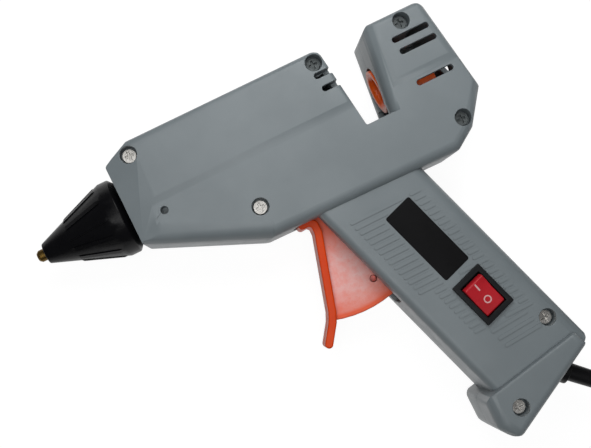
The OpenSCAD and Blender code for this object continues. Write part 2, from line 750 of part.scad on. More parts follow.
// Heater stack in the chamber's pocket, from below: sheet, plate, ceramic, plate, sheet
stack_y = [0, sheet_t, sheet_t + contact_t,
    sheet_t + contact_t + heater_t, sheet_t + 2 * contact_t + heater_t];
module heater_slab(level, t, length) {
    y = pocket_y + 0.05 + stack_y[level];
    block([pocket_x + 0.4, y, -heater_w / 2], [pocket_x + 0.4 + length, y + t, heater_w / 2]);
}
module heater_element() {
    color([0.35, 0.34, 0.33]) in_place() heater_slab(2, heater_t, heater_l);
}
module contact_plates() {
    color([0.80, 0.66, 0.35]) in_place() for (level = [1, 3]) {
        y = pocket_y + 0.05 + stack_y[level];
        x = pocket_x + 0.4 + heater_l;
        heater_slab(level, contact_t, heater_l);
        block([x - over, y, level == 1 ? -heater_w / 2 : 2],
            [x + tab_l, y + contact_t, level == 1 ? -2 : heater_w / 2]);
    }
}
module insulating_sheets() {
    color([0.85, 0.78, 0.62]) in_place() for (level = [0, 4])
        heater_slab(level, sheet_t, heater_l + sheet_over);
}

module inlet_sleeve() {
    color([0.62, 0.20, 0.13]) in_place() difference() {
        bar(sleeve_x, guide_x - 0.1, sleeve_r);
        bar(sleeve_x - over, chamber_end + tail_l + slip, tail_r + slip);
        bar(sleeve_x, guide_x + over, stick_bore);
    }
}
module sleeve_band() {
    color([0.75, 0.76, 0.77]) in_place() difference() {
        union() {
            bar(band_x, band_x + band_l, sleeve_r + 0.7);
            block([band_x, sleeve_r - 0.4, -1.6], [band_x + band_l, sleeve_r + 3.4, 1.6]);
        }
        bar(band_x - over, band_x + band_l + over, sleeve_r + slip);
        block([band_x - over, 0, -0.4], [band_x + band_l + over, sleeve_r + 5, 0.4]);
    }
}
module stick_guide() {
    color([0.20, 0.20, 0.21]) in_place() difference() {
        union() {
            bar(guide_x, guide_end, guide_r);
            bar(collar_x, collar_x + 3, guide_r + 1.4);
        }
        bar(guide_x - over, guide_end + over, guide_bore);
    }
}

orange = [0.93, 0.36, 0.12];
module feed_carriage() {
    half = tongue_w / 2;
    color(orange) in_place() difference() {
        union() {
            block([lug_x, tongue_low, -half], [block_x + block_l, tongue_top, half]);
            block([lug_x, tongue_low, -half], [lug_x + lug_l, lug_top, half]);
            bar(lug_x - 7, lug_x + over, spring_r - spring_wire / 2 - gap, spring_y);
            block([block_x, tongue_low, -block_w / 2], [block_x + block_l, -sleeve_fit - 1.2, block_w / 2]);
            for (s = [-1, 1]) block([block_x, -sleeve_fit - 2, s > 0 ? cheek_in : -block_w / 2],
                [block_x + block_l, cheek_top, s > 0 ? block_w / 2 : -cheek_in]);
        }
        cross_bar([drive_x, -drive_low], drive_r + slip, -half - over, half + over);
        cross_bar([trunnion_x, 0], trunnion_r + slip, -block_w, block_w);
    }
}
module drive_pin() {
    color([0.75, 0.76, 0.77]) in_place() cross_bar([drive_x, -drive_low], drive_r, -hub_half, hub_half);
}
module stick_clamp() {
    color(orange) in_place() difference() {
        union() {
            bar(ring_x, ring_x + ring_l, ring_r);
            bar(ring_x + over, block_x + block_l - 1, sleeve_fit);
            cross_bar([trunnion_x, 0], trunnion_r, -block_w / 2 + 0.4, block_w / 2 - 0.4);
        }
        bar(ring_x - over, rear_x, stick_bore + 0.1);
        taper(ring_x - 0.01, ring_x + 2, stick_bore + 1.6, stick_bore);
    }
}

// Return spring between its seat and the carriage lug
spring_rings = 8;
spring_l = lug_x - spring_seat;
spring_pts = [for (i = [0 : spring_turns * spring_rings])
    let (a = 360 * i / spring_rings, s = i / (spring_turns * spring_rings))
    [spring_seat + spring_wire / 2 + gap / 2 + s * (spring_l - spring_wire - gap),
        spring_y + spring_r * cos(a), spring_r * sin(a)]];
module return_spring() {
    color([0.72, 0.73, 0.74]) in_place() tube(spring_pts, spring_wire / 2, 6);
}

// Trigger: finger flange, web, hub and a fork that takes the drive pin
module finger_curve() {
    curl = finger(finger_l);
    polygon(rounded(strip([flange_top + [-hook_l, hook_rise], flange_top + [-2, hook_rise + 0.3],
        flange_top + [0.1, hook_rise - 1.7], flange_top, curl,
        curl + [-1.8, -3.8], curl + [-8.2, -12.7]], flange_t)));
}
module web_shape() {
    first = atan2(finger(finger_l - 1).x - pivot.x, pivot.y - finger(finger_l - 1).y);
    polygon(concat([pivot + [4, 0], pivot + [-4, -1], finger(-1)],
        [for (k = [0 : 8]) let (a = first + (24 - first) * k / 8) pivot + web_r * [sin(a), -cos(a)]]));
}
module trigger() {
    reach = arm / cos(pull / 2);
    color(orange) in_place() difference() {
        union() {
            translate([0, 0, -web_t / 2]) linear_extrude(web_t) web_shape();
            translate([0, 0, -flange_w / 2]) linear_extrude(flange_w) finger_curve();
            cross_bar(pivot, hub_r, -hub_half, hub_half);
            for (s = [-1, 1]) translate([pivot.x, pivot.y, s > 0 ? fork_in : -fork_in - fork_t])
                rotate(-pull / 2) translate([-fork_w / 2, 0, 0]) cube([fork_w, reach + 2.4, fork_t]);
        }
        cross_bar(pivot, pivot_r + slip, -hub_half - over, hub_half + over);
        translate([pivot.x, pivot.y, -hub_half - over]) rotate(-pull / 2)
            translate([-drive_r - 0.12, reach - drive_r - 1, 0])
                cube([2 * drive_r + 0.24, 12, 2 * hub_half + 2 * over]);
        cross_bar([pivot_x + 7.6, -belly_h - 33.8], 1.4, -web_t / 2 + web_floor, web_t);
    }
}
module trigger_pin() {
    color([0.75, 0.76, 0.77]) in_place() cross_bar(pivot, pivot_r, -pin_half, pin_half);
}

// Switch on the grip
module switch_housing() {
    color([0.09, 0.09, 0.10]) in_place() on_grip(switch_y) difference() {
        union() {
            translate([0, 0, grip_half + 0.02]) linear_extrude(bezel_t)
                square([bezel_w, bezel_l], center = true);
            translate([0, 0, grip_half - switch_depth]) linear_extrude(switch_depth + over)
                square([switch_w, switch_l], center = true);
        }
        translate([0, 0, grip_half - 7]) linear_extrude(20)
            square([rocker_w + 0.6, rocker_l + 1.2], center = true);
        rotate([0, 90, 0]) translate([-rocker_pivot, 0, -bezel_w / 2 + 1.6])
            cylinder(r = 1.2 + slip, h = bezel_w - 3.2);
    }
}
module switch_rocker() {
    color([0.78, 0.07, 0.10]) in_place() on_grip(switch_y) translate([0, 0, rocker_pivot])
        rotate([rocker_swing / 2, 0, 0]) {
            translate([-rocker_w / 2, 0, 0]) rotate([90, 0, 90]) linear_extrude(rocker_w) polygon([
                [-rocker_l / 2, 1], [-rocker_l / 2, rocker_arm - 1], [-rocker_l / 2 + 0.7, rocker_arm],
                [0, rocker_arm - 0.9], [rocker_l / 2 - 0.7, rocker_arm], [rocker_l / 2, rocker_arm - 1],
                [rocker_l / 2, 1], [2, -1.6], [-2, -1.6]]);
            rotate([0, 90, 0]) translate([0, 0, -bezel_w / 2 + 1.9]) cylinder(r = 1.2, h = bezel_w - 3.8);
        }
}
module switch_terminals() {
    color([0.80, 0.66, 0.35]) in_place() on_grip(switch_y) for (s = [-1, 1])
        translate([-2.4, s * 6 - 0.4, grip_half - switch_depth - 7]) cube([4.8, 0.8, 7]);
}

// Cord entry: clamp bar over the cord, gland in the foot's underside
module cord_clamp() {
    color([0.15, 0.15, 0.16]) in_place() along_cord(-clamp_in) difference() {
        block([-3.4, -post_at - 2.6, cord_r + slip], [3.4, post_at + 2.6, cord_r + 3.4]);
        for (s = [-1, 1]) translate([0, s * post_at, 0]) cylinder(r = screw_r + 0.2, h = 20);
    }
}
module cord_clamp_screws() {
    color([0.78, 0.78, 0.76]) in_place() along_cord(-clamp_in) for (s = [-1, 1])
        translate([0, s * post_at, cord_r + 3.4]) difference() {
            union() {
                cylinder(r = head_r, h = head_t);
                translate([0, 0, -13]) cylinder(r = screw_r, h = 14);
            }
            translate([0, 0, head_t]) cross_recess(1.8, 1.2);
        }
}
module cord_gland() {
    color([0.06, 0.06, 0.06]) in_place() along_cord(0) difference() {
        union() {
            bar(-gland_in, collar_l, collar_r);
            bar(-gland_in, -wall - 3, collar_r + 1.4);
            taper(collar_l - 0.01, gland_l, cord_r + 0.9, gland_tip_r);
        }
        bar(-gland_in - over, gland_l + over, cord_r + slip);
    }
}
module cord_inner() {
    color([0.08, 0.08, 0.08]) in_place() along_cord(0) bar(-cord_in_l, gland_l, cord_r);
}

// Wires from the cord to the switch and the heater
function stack_level(level) = pocket_y + 0.05 + stack_y[level] + contact_t / 2;
wire_r = 1.1;
wire_side = 13;
wire_apart = 1.4;
cord_end = gland_root - (cord_in_l + slip) * gland_dir;
cord_near = gland_root - (cord_in_l + 3) * gland_dir;
tab_end = pocket_x + 0.4 + heater_l + tab_l + slip;
tab_z = heater_w / 4 + 1;
function blade_foot(s) =
    [grip_mid(switch_y) - s * 6 * sin(grip_rake), switch_y + s * 6 * cos(grip_rake),
        grip_half - switch_depth - 7 - 4 * slip];
function in_grip(y, aside, z) = [grip_mid(y) + aside, y, z];
function by_cord(share, aside, z) =
    [cord_near.x + share * (blade_foot(-1).x - cord_near.x) + aside,
        cord_near.y + share * (blade_foot(-1).y - cord_near.y), z];
function up_the_barrel(side) = [
    [pivot_x + 12, pivot.y + 6.5, side * wire_side], [pivot_x + 6, pivot.y + 7.9, side * wire_side],
    [pivot_x - 4, pivot.y + 8.5, side * wire_side], [chamber_end + 3, pivot.y + 11.5, side * wire_side],
    [chamber_end + 0.6, -12, side * wire_side], [chamber_end, 0, side * wire_side],
    [chamber_end - 1, 9, side * (wire_side - 1)]];
function to_tab(side, level) = [
    [chamber_end - 2.4, stack_level(level) + 0.8, side * 9],
    [chamber_end - 3.4, stack_level(level), side * tab_z], [tab_end, stack_level(level), side * tab_z]];
neutral_route = concat(
    [[cord_end.x, cord_end.y, -wire_apart], [cord_near.x, cord_near.y, -wire_apart], by_cord(0.52, -4.4, -7)],
    [in_grip(switch_y - 1.7, -7.6, -10.6), in_grip(switch_y + 14.3, -7.4, -11)],
    [in_grip(switch_y + 32.3, -6.5, -11), in_grip(-belly_h - 9, -6.7, -11.4)],
    [in_grip(-belly_h + 5, -6.1, -12)],
    up_the_barrel(-1), to_tab(-1, 1));
live_route = concat(
    [[cord_end.x, cord_end.y, wire_apart], [cord_near.x, cord_near.y, wire_apart]],
    [by_cord(0.41, -2.5, -1), by_cord(0.73, -1.8, -5), by_cord(0.91, -0.7, -6.4)],
    [blade_foot(-1) + [-0.06, -0.12, -2], blade_foot(-1)]);
switched_route = concat(
    [blade_foot(1), blade_foot(1) + [-0.06, 0.12, -2.2], blade_foot(1) + [-0.9, 1.8, -4.4]],
    [in_grip(switch_y + 11.7, -0.2, -5), in_grip(switch_y + 20.3, 0, 3), in_grip(switch_y + 30.3, -1.2, 10)],
    [in_grip(-belly_h - 13, -2, 11.4), in_grip(-belly_h + 1, -4.4, 12)],
    up_the_barrel(1), to_tab(1, 3));
module neutral_wire() {
    color([0.16, 0.32, 0.70]) in_place() tube(neutral_route, wire_r, 8);
}
module live_wire() {
    color([0.45, 0.26, 0.14]) in_place() tube(live_route, wire_r, 8);
}
module switched_wire() {
    color([0.45, 0.26, 0.14]) in_place() tube(switched_route, wire_r, 8);
}

// Free cord
cord_black = [0.07, 0.07, 0.07];
lead_pts = concat(
    [[cord_exit.x, cord_exit.y, body_half],
        [cord_exit.x + cord_d * gland_dir.x, cord_exit.y + cord_d * gland_dir.y, body_half]],
    lead_route, [coil_point(0) - cord_d * coil_way(0), coil_point(0)]);
function smooth(s) = let (c = min(max(s, 0), 1)) c * c * (3 - 2 * c);
function coil_at(t) =
    let (half = coil_turns / 2, a = coil_start + 360 * t, r = coil_r - coil_pitch * (half - abs(half - t)))
    [coil_mid.x + r * cos(a), coil_mid.y + r * sin(a),
        coil_z + layer_z * smooth((t - half + climb) / (2 * climb))];
function coil_way(t) = let (a = coil_start + 360 * t) [-sin(a), cos(a), 0];
function coil_point(end) = coil_at(end * coil_turns) + (end * 2 - 1) * cord_d * coil_way(end * coil_turns);
coil_pts = concat([coil_point(0)],
    [for (i = [0 : coil_turns * rings]) coil_at(i / rings)],
    [coil_point(1)]);
module cord_lead() {
    color(cord_black) on_floor() tube(lead_pts, cord_r, 10);
}
module cord_coil() {
    color(cord_black) on_floor() tube(coil_pts, cord_r, 6);
}
module cord_tail() {
    color(cord_black) on_floor() tube(tail_pts, cord_r, 10);
}
tail_pts = concat([coil_point(1), coil_point(1) + cord_d * coil_way(coil_turns)], tail_route,
    [plug_at - cord_d * [plug_dir.x, plug_dir.y, 0], plug_at]);

// Tie: a flat band round the loops, on the far side of the coil
tie_turn = 30;
tie_w = 7;
module cord_tie() {
    inner = coil_r - coil_pitch * coil_turns / 2 - cord_r - 0.4;
    outer = coil_r + cord_r + 0.4;
    high = coil_z + layer_z + cord_r + 0.1;
    color([0.12, 0.12, 0.12]) on_floor() translate([coil_mid.x, coil_mid.y, 0]) rotate(tie_turn)
    difference() {
        block([inner - tie_t, -tie_w / 2, 0], [outer + tie_t, tie_w / 2, high + tie_t]);
        block([inner, -tie_w, tie_t], [outer, tie_w, high]);
    }
}

// Plug lying on its flat side
module along_plug() {
    translate(plug_at) rotate([0, 0, atan2(plug_dir.y, plug_dir.x)]) children();
}
module plug_body() {
    neck = 8;
    color(cord_black) on_floor() along_plug() {
        translate([0, 0, -plug_h / 2]) linear_extrude(plug_h) polygon([
            [neck, -plug_h / 2 + 1], [plug_l - 12, -plug_w / 2], [plug_l, -plug_w / 2],
            [plug_l, plug_w / 2], [plug_l - 12, plug_w / 2], [neck, plug_h / 2 - 1]]);
        taper(0, neck + over, cord_r + 0.8, 5.4);
    }
}
module plug_pins() {
    color([0.78, 0.78, 0.76]) on_floor() along_plug() for (s = [-1, 1])
        translate([plug_l, s * 9.3, 0]) rotate([0, 90, 0]) cylinder(r = 2, h = 19);
}

// Least gap of each wound tube to itself
function self_gap(pts, d, skip) =
    min([for (i = [0 : len(pts) - 1]) for (k = [i + skip : 1 : len(pts) - 1]) norm(pts[i] - pts[k])]) - d;
echo(mid = [mid_x, mid_y], travel = travel, pivot = pivot, trunnion = trunnion_x,
    guide = [guide_x, guide_end]);
echo(coil_least_gap = self_gap(coil_pts, cord_d, 8));
echo(spring_least_gap = self_gap(spring_pts, spring_wire, 5));

left_shell();
right_shell();
casing_screws();
rating_plate();
nose_cone();
nozzle();
melt_chamber();
heater_element();
contact_plates();
insulating_sheets();
inlet_sleeve();
sleeve_band();
stick_guide();
feed_carriage();
drive_pin();
stick_clamp();
return_spring();
trigger();
trigger_pin();
switch_housing();
switch_rocker();
switch_terminals();
cord_clamp();
cord_clamp_screws();
cord_gland();
cord_inner();
neutral_wire();
live_wire();
switched_wire();
cord_lead();
cord_coil();
cord_tie();
cord_tail();
plug_body();
plug_pins();
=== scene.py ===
import json
import math
import bpy
import numpy as np
from mathutils import Matrix, Vector


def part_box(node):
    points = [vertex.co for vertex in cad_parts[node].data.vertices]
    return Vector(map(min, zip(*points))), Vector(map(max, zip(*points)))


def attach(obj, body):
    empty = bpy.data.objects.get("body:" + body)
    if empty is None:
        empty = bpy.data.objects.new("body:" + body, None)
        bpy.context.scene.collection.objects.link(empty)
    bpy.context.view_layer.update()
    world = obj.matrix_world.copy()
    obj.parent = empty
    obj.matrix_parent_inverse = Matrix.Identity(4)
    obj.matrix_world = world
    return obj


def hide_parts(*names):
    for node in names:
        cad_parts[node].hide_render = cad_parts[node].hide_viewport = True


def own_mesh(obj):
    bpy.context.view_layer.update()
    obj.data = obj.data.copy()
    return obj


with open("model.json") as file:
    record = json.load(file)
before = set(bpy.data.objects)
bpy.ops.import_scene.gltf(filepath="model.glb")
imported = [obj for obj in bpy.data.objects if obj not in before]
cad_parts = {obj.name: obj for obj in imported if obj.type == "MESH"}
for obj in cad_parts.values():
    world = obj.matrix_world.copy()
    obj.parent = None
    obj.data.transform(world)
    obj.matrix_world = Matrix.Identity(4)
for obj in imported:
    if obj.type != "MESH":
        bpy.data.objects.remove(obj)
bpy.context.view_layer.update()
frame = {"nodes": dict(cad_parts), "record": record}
NODES = frame["nodes"]
BODY = {node: body for body, nodes in frame["record"]["behaviour"]["bodies"].items() for node in nodes}
MM = 0.001
PER_M = 1000

# Gun coordinates, in mm: x back from the front wall, y up from the glue stick's axis, z out of the left
# side from the plane where the two shells meet
FRONT_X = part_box("left_shell")[0].x
STICK_Y = sum(corner.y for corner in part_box("stick_guide")) / 2
SEAM_Z = sum(corner.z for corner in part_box("trigger_pin")) / 2


def gun(x, y, z=0.0):
    return Vector((FRONT_X + x * MM, STICK_Y + y * MM, SEAM_Z + z * MM))


# Height of the seam over the floor the gun lies on
SEAM_HEIGHT = 21.0
# Trigger: on its web's left face, the pin and the worn middle; below that face, the small hole
TRIGGER_PIN = (72, -31.5, 3)
WEB_MIDDLE = (71, -63, 3)
WEB_HOLE = (79.6, -70.8, 1.8)
# Switch rocker: its middle, and the lean of the grip it sits in, in degrees
ROCKER_AT = (115.03, -96.3)
GRIP_RAKE = 18
# Plug: where the cord enters it, over the floor, and which way its pins point
PLUG_AT = Vector((262, -104, 6.9))
PLUG_DIR = Vector((-0.26, 0.966, 0))


# Mesh work

# Edges sharper than this many degrees are rounded, where both faces have room for the rounding
SHARP_ANGLE = 50
ROOM_PER_RADIUS = 2.1
# Only what lies within 60 degrees of straight ahead takes room; with nothing there, the room is this, in m
AHEAD_COSINE = 0.5
WIDE_OPEN = 1.0
# Keeps a side of no length from dividing by zero
TINY_SQUARE = 1e-18
# Height of the grip's ribbed faces from the seam; they are cut up too much to merge
RIBBED_FACE = 17 * MM
SAME_HEIGHT = 0.02 * MM
LEVEL_COSINE = 0.999
# Corners this close are one corner, edges this short are closed up, faces within these degrees are one plane
SAME_POINT = 0.002 * MM
SHORT_EDGE = 0.06 * MM
FLAT_ANGLE = 0.6


def pick(piece):
    if bpy.context.object and bpy.context.object.mode != "OBJECT":
        bpy.ops.object.mode_set(mode="OBJECT")
    bpy.ops.object.select_all(action="DESELECT")
    bpy.context.view_layer.objects.active = piece
    piece.select_set(True)


def apply(piece, kind, **settings):
    pick(piece)
    modifier = piece.modifiers.new(kind.title(), kind)
    for setting, value in settings.items():
        setattr(modifier, setting, value)
    bpy.ops.object.modifier_apply(modifier=modifier.name)


def room_ahead(places, face, start, end):
    """How far a face runs inwards from one of its edges before it meets another edge."""
    corners = np.array(face.vertices)
    following = np.roll(corners, -1)
    other = ~np.isin(corners, (start, end)) & ~np.isin(following, (start, end))
    if not other.any():
        return WIDE_OPEN
    middle = (places[start] + places[end]) / 2
    inward = np.array(face.normal.cross(Vector(places[end] - places[start])).normalized())
    first = places[corners[other]]
    side = places[following[other]] - first
    squared = np.maximum((side * side).sum(1), TINY_SQUARE)
    share = np.clip(((middle - first) * side).sum(1) / squared, 0, 1)
    away = first + side * share[:, None] - middle
    distance = np.sqrt((away * away).sum(1))
    ahead = away @ inward > AHEAD_COSINE * distance
    return distance[ahead].min() if ahead.any() else WIDE_OPEN


def outer_edges(mesh, room):
    """Edges that stick out and have faces broad enough on both sides to be rounded."""
    places = np.array([v.co for v in mesh.vertices])
    sides = {}
    for face in mesh.polygons:
        corners = list(face.vertices)
        for start, end in zip(corners, corners[1:] + corners[:1]):
            sides.setdefault((min(start, end), max(start, end)), []).append((face, start, end))
    for key, pair in sides.items():
        if len(pair) != 2:
            continue
        (one, _, _), (two, start, end) = pair
        if one.normal.angle(two.normal, 0) < math.radians(SHARP_ANGLE):
            continue
        if two.normal.cross(Vector(places[end] - places[start])).dot(one.normal) >= 0:
            continue
        if min(room_ahead(places, *side) for side in pair) > room:
            yield key


def round_edges(piece, radius):
    pick(piece)
    bpy.ops.object.mode_set(mode="EDIT")
    bpy.ops.mesh.select_mode(type="EDGE")
    bpy.ops.mesh.select_all(action="DESELECT")
    bpy.ops.object.mode_set(mode="OBJECT")
    chosen = set(outer_edges(piece.data, ROOM_PER_RADIUS * radius * MM))
    for edge in piece.data.edges:
        edge.select = tuple(sorted(edge.vertices)) in chosen
    bpy.ops.object.mode_set(mode="EDIT")
    bpy.ops.mesh.bevel(offset=radius * MM, segments=2, affect="EDGES", clamp_overlap=False,
                       loop_slide=False)
    bpy.ops.object.mode_set(mode="OBJECT")
    pick(piece)
    bpy.ops.object.shade_smooth_by_angle(angle=math.radians(SHARP_ANGLE))
    apply(piece, "WEIGHTED_NORMAL", keep_sharp=True, weight=80)


def merged_copy(node, name):
    """A copy of a CAD node with its loose triangles merged into plain faces."""
    piece = bpy.data.objects.new(name, NODES[node].data.copy())
    bpy.context.scene.collection.objects.link(piece)
    piece.data.materials.clear()
    pick(piece)
    bpy.ops.mesh.customdata_custom_splitnormals_clear()
    bpy.ops.object.mode_set(mode="EDIT")
    bpy.ops.mesh.select_mode(type="FACE")
    bpy.ops.mesh.select_all(action="SELECT")
    bpy.ops.mesh.remove_doubles(threshold=SAME_POINT)
    bpy.ops.object.mode_set(mode="OBJECT")
    for face in piece.data.polygons:
        height = abs(face.center.z - SEAM_Z)
        face.select = abs(face.normal.z) < LEVEL_COSINE or abs(height - RIBBED_FACE) > SAME_HEIGHT
    bpy.ops.object.mode_set(mode="EDIT")
    bpy.ops.mesh.dissolve_limited(angle_limit=math.radians(FLAT_ANGLE))
    bpy.ops.mesh.select_all(action="SELECT")
    bpy.ops.mesh.dissolve_degenerate(threshold=SHORT_EDGE)
    bpy.ops.object.mode_set(mode="OBJECT")
    return piece


def moulded(node, name, radius):
    """A copy of a CAD node with its outer edges rounded."""
    piece = merged_copy(node, name)
    round_edges(piece, radius)
    return piece


def wound(node, name):
    """A copy of a faceted tube, made round."""
    piece = merged_copy(node, name)
    apply(piece, "SUBSURF", levels=2, render_levels=2)
    bpy.ops.object.shade_smooth()
    return piece


def fit(piece, finish, slot, *nodes):
    """Gives a piece its finish and puts it on the body of the nodes it stands for."""
    piece.data.materials.append(finish)
    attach(piece, BODY[nodes[0]])
    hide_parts(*nodes)
    return piece


# Finishes

# Most of a noise's values lie in this range
NOISE_LOW, NOISE_HIGH = 0.3, 0.7


def paint(red, green, blue):
    """A colour as a screen shows it, 0 to 255, turned into light by the sRGB curve."""
    return tuple((c / 255 / 12.92 if c < 10.4 else ((c / 255 + 0.055) / 1.055) ** 2.4)
                 for c in (red, green, blue)) + (1.0,)


def darker(colour, drift):
    return paint(*(max(0, c - drift) for c in colour))


def lighter(colour, drift):
    return paint(*(min(255, c + drift) for c in colour))


class Value:
    """A shader socket; arithmetic on it adds Math nodes."""

    def __init__(self, finish, socket):
        self.finish = finish
        self.socket = socket

    def math(self, operation, first, second=0.0):
        return self.finish.add("ShaderNodeMath", {"operation": operation}, {0: first, 1: second})

    def __add__(self, other):
        return self.math("ADD", self, other)

    def __sub__(self, other):
        return self.math("SUBTRACT", self, other)

    def __rsub__(self, other):
        return self.math("SUBTRACT", other, self)

    def __mul__(self, other):
        return self.math("MULTIPLY", self, other)

    def __pow__(self, other):
        return self.math("POWER", self, other)

    def __abs__(self):
        return self.math("ABSOLUTE", self)


class Finish:
    """A material whose nodes are added by name and wired by value."""

    def __init__(self, name, **constants):
        self.material = bpy.data.materials.new(name)
        self.material.use_nodes = True
        self.tree = self.material.node_tree
        self.shader = self.tree.nodes["Principled BSDF"]
        for socket, value in constants.items():
            title = socket.replace("_", " ").title().replace("Ior", "IOR")
            self.shader.inputs[title].default_value = value
        self.place = self.add("ShaderNodeTexCoord", output="Object")

    def add(self, kind, settings=(), sockets=(), output=0):
        node = self.tree.nodes.new(kind)
        for setting, value in dict(settings).items():
            setattr(node, setting, value)
        for socket, value in dict(sockets).items():
            self.feed(node.inputs[socket], value)
        return Value(self, node.outputs[output])

    def feed(self, socket, value):
        if isinstance(value, Value):
            self.tree.links.new(value.socket, socket)
        else:
            socket.default_value = value

    def part(self, vector, which):
        return self.add("ShaderNodeSeparateXYZ", sockets={0: vector}, output="XYZ".index(which))

    def axis(self, which, centre):
        """Distance along one axis from a place in the scene, in mm."""
        return self.part(self.place, which) * PER_M - centre / MM

    def away(self, point):
        """Distance from a point, in mm."""
        return self.add("ShaderNodeVectorMath", {"operation": "DISTANCE"}, {0: self.place, 1: point},
                        output="Value") * PER_M

    def noise(self, scale, detail=2.0, roughness=0.5):
        return self.add("ShaderNodeTexNoise", sockets={"Vector": self.place, "Scale": scale,
                                                       "Detail": detail, "Roughness": roughness})

    def span(self, value, low, high, first=0.0, last=1.0):
        """Maps low..high to first..last, softly, and holds it there."""
        return self.add("ShaderNodeMapRange", {"interpolation_type": "SMOOTHSTEP"},
                        {0: value, 1: low, 2: high, 3: first, 4: last})

    def spread(self, noise, first=0.0, last=1.0):
        """Maps most of a noise's range to first..last."""
        return self.span(noise, NOISE_LOW, NOISE_HIGH, first, last)

    def within(self, value, inner, outer):
        """1 up to the inner value, then softly down to 0 at the outer one."""
        return self.span(value, inner, outer, 1.0, 0.0)

    def mix(self, factor, first, second):
        return self.add("ShaderNodeMix", {"data_type": "RGBA"}, {0: factor, 6: first, 7: second}, output=2)

    def bump(self, height, strength, depth):
        """Relief, its depth in mm."""
        return self.add("ShaderNodeBump", sockets={"Height": height, "Strength": strength,
                                                   "Distance": depth * MM})

    def wear(self, colour, roughness, normal, metallic=0.0):
        for socket, value in (("Base Color", colour), ("Roughness", roughness), ("Normal", normal),
                              ("Metallic", metallic)):
            self.feed(self.shader.inputs[socket], value)
        return self.material


def moulded_plastic(name, colour, gloss, grain=2200, depth=0.02, drift=6, **constants):
    """Moulded plastic: a fine pitted skin, slow drifts of shade, and rubbed patches that shine more."""
    f = Finish(name, **constants)
    cloud = f.spread(f.noise(scale=38, detail=3, roughness=0.55))
    pits = f.noise(grain, detail=3, roughness=0.6)
    rubbed = f.span(f.noise(scale=90, detail=4, roughness=0.62), low=0.42, high=0.72)
    shade = f.mix(cloud, darker(colour, drift), lighter(colour, drift))
    roughness = f.spread(pits, gloss - 0.05, gloss + 0.06) - rubbed * 0.06
    return f.wear(shade, roughness, f.bump(pits, strength=0.35, depth=depth))


def stain(f):
    return f.span(f.noise(scale=160, detail=4, roughness=0.6), low=0.35, high=0.75)


def metal(name, colour, gloss, drift=14):
    """Metal with fine marks and slow stains that are darker and duller."""
    f = Finish(name)
    stained = stain(f)
    fine = f.noise(scale=900, detail=3, roughness=0.6)
    shade = f.mix(stained, paint(*colour), darker(colour, drift))
    roughness = f.span(fine, 0.25, 0.75, gloss - 0.07, gloss + 0.09) + stained * 0.06
    return f.wear(shade, roughness, f.bump(fine, strength=0.3, depth=0.012), metallic=1.0)


def screw_metal():
    """Plated screws; in the sinks of the barrel's rear and the tower they are painted darker, rougher and
    less metallic, a painted shade for the depth of those sinks.
    """
    f = Finish("screw_steel")
    # painted shade: heads behind and above this point are painted dark grey, rougher and less metallic,
    # standing for the shade deep in their sinks
    sink_shade_from = gun(60, -45)
    sink_shade = f.span(f.axis("X", sink_shade_from.x), low=20, high=26)
    sink_shade = sink_shade * f.span(f.axis("Y", sink_shade_from.y), low=0, high=10)
    clean = f.mix(stain(f), paint(186, 184, 180), paint(160, 158, 154))
    fine = f.noise(scale=500, detail=3, roughness=0.6)
    roughness = f.span(fine, 0.25, 0.75, 0.27, 0.4) + sink_shade * 0.2
    return f.wear(f.mix(sink_shade, clean, paint(84, 90, 91)), roughness,
                  f.bump(fine, strength=0.12, depth=0.008), metallic=1 - sink_shade * 0.7)


def trigger_plastic():
    """Orange flange; the web's flat sides are chalky, whiter in the middle and cleaner round the rim,
    with painted shade in the small hole."""
    f = Finish("trigger_orange", specular_ior_level=0.2)
    pits = f.noise(scale=2000, detail=3, roughness=0.6)
    blotch = f.noise(scale=330, detail=4, roughness=0.6)
    speck = f.noise(scale=1300, detail=3, roughness=0.7)
    on_web = f.within(abs(f.axis("Z", SEAM_Z)), inner=3.05, outer=3.4)
    inside_rim = f.within(f.away(gun(*TRIGGER_PIN)), inner=47.2, outer=48.8)
    # painted shade: the small hole is painted near black for the shade inside it
    hole_shade = f.span(f.away(gun(*WEB_HOLE)), 1.75, 1.95, 0.85, 0.0)
    chalk = f.span(f.away(gun(*WEB_MIDDLE)), 5, 24, 1.0, 0.1)
    chalk = chalk * f.span(blotch, 0.2, 0.75, 0.55, 1.0) * inside_rim
    clean = f.mix(f.spread(f.noise(scale=60, detail=3)), paint(228, 66, 0), paint(238, 76, 6))
    dusty = f.mix(chalk, paint(255, 112, 76), paint(255, 206, 202))
    dusty = f.mix(f.span(speck, low=0.5, high=0.8) * 0.3, dusty, paint(240, 104, 72))
    shade = f.mix(hole_shade, f.mix(on_web, clean, dusty), paint(52, 14, 10))
    roughness = on_web * 0.14 + f.spread(pits, 0.34, 0.44)
    return f.wear(shade, roughness, f.bump(pits, strength=0.3, depth=0.02))


def rocker_plastic():
    """Glossy red key with a white stroke printed at its raised end and a white ring at the other."""
    stroke_at, ring_at, ring_radius = 3.9, -2.6, 1.42
    f = Finish("rocker_red", specular_ior_level=0.35)
    pits = f.noise(scale=900, detail=3, roughness=0.6)
    turned = f.add("ShaderNodeMapping", {"vector_type": "TEXTURE"},
                   {"Vector": f.place, "Location": gun(*ROCKER_AT),
                    "Rotation": (0, 0, math.radians(GRIP_RAKE))})
    across = f.part(turned, "X") * PER_M
    along = f.part(turned, "Y") * PER_M
    stroke = f.within(abs(across), inner=0.26, outer=0.38)
    stroke = stroke * f.within(abs(along - stroke_at), inner=1.6, outer=1.75)
    from_ring = (across ** 2 + (along - ring_at) ** 2) ** 0.5
    ring = f.within(abs(from_ring - ring_radius), inner=0.2, outer=0.32)
    printed = f.add("ShaderNodeMath", {"operation": "MAXIMUM"}, {0: stroke, 1: ring})
    red = f.mix(f.spread(f.noise(scale=120, detail=3)), paint(186, 24, 36), paint(202, 34, 46))
    roughness = f.spread(pits, 0.34, 0.42) + printed * 0.1
    return f.wear(f.mix(printed * 0.9, red, paint(238, 196, 196)), roughness,
                  f.bump(pits, strength=0.3, depth=0.006))


